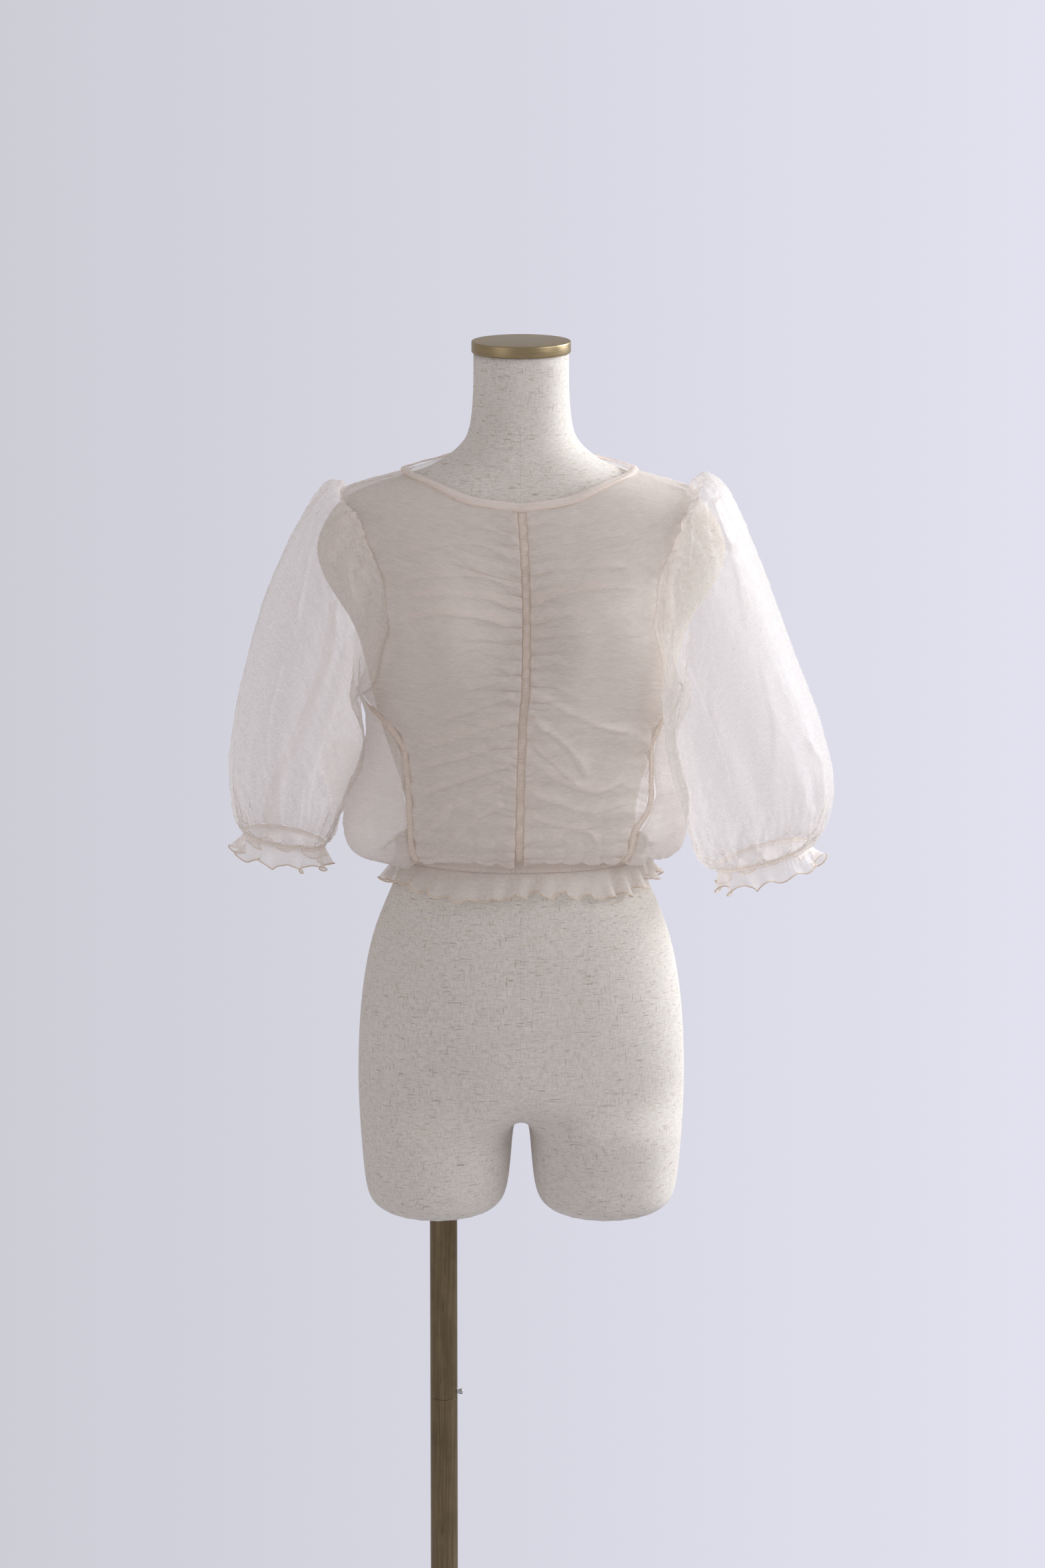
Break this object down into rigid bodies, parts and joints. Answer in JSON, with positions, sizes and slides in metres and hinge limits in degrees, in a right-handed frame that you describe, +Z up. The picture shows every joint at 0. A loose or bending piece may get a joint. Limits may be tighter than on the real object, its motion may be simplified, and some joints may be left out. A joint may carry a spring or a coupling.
{
  "type": "sheer top on a dress form",
  "caption": "Sheer gathered top with balloon sleeves, ruched front and ruffled hem, worn by a linen dress form on a pole and round base.",
  "frame": {"origin": "centre of the round base's underside, under the pole", "axes": "+Z up along the pole, -Y the wearer's front, +X the wearer's left"},
  "size_m": [0.5984, 0.33, 1.4902],
  "materials": {
    "organza": "sheer crinkled organza, pale peach, soft sheen",
    "organza_edge": "sheer organza with a rolled, overlocked tan edge",
    "elastic_strip": "gathered organza over soft elastic, stitched in two rows",
    "linen": "natural linen with darker slubs, pulled tight",
    "brushed_brass": "brushed brass, dulled",
    "aged_brass": "darkened antique brass with fine scratches",
    "steel": "bright steel"
  },
  "bodies": {
    "root": {"front_left": "organza", "front_right": "organza", "back": "organza", "sleeve_left": "organza", "sleeve_right": "organza", "neck_binding": "organza", "cuff_ruffle_left": "organza_edge", "cuff_ruffle_right": "organza_edge", "hem_ruffle": "organza_edge", "centre_strip": "elastic_strip", "side_strip_left": "elastic_strip", "side_strip_right": "elastic_strip", "waist_elastic": "elastic_strip", "cuff_elastic_left": "elastic_strip", "cuff_elastic_right": "elastic_strip", "form": "linen", "neck_cap": "brushed_brass", "base": "aged_brass", "pole_lower": "aged_brass", "pole_upper": "aged_brass", "set_screw": "steel"}
  },
  "joints": []
}
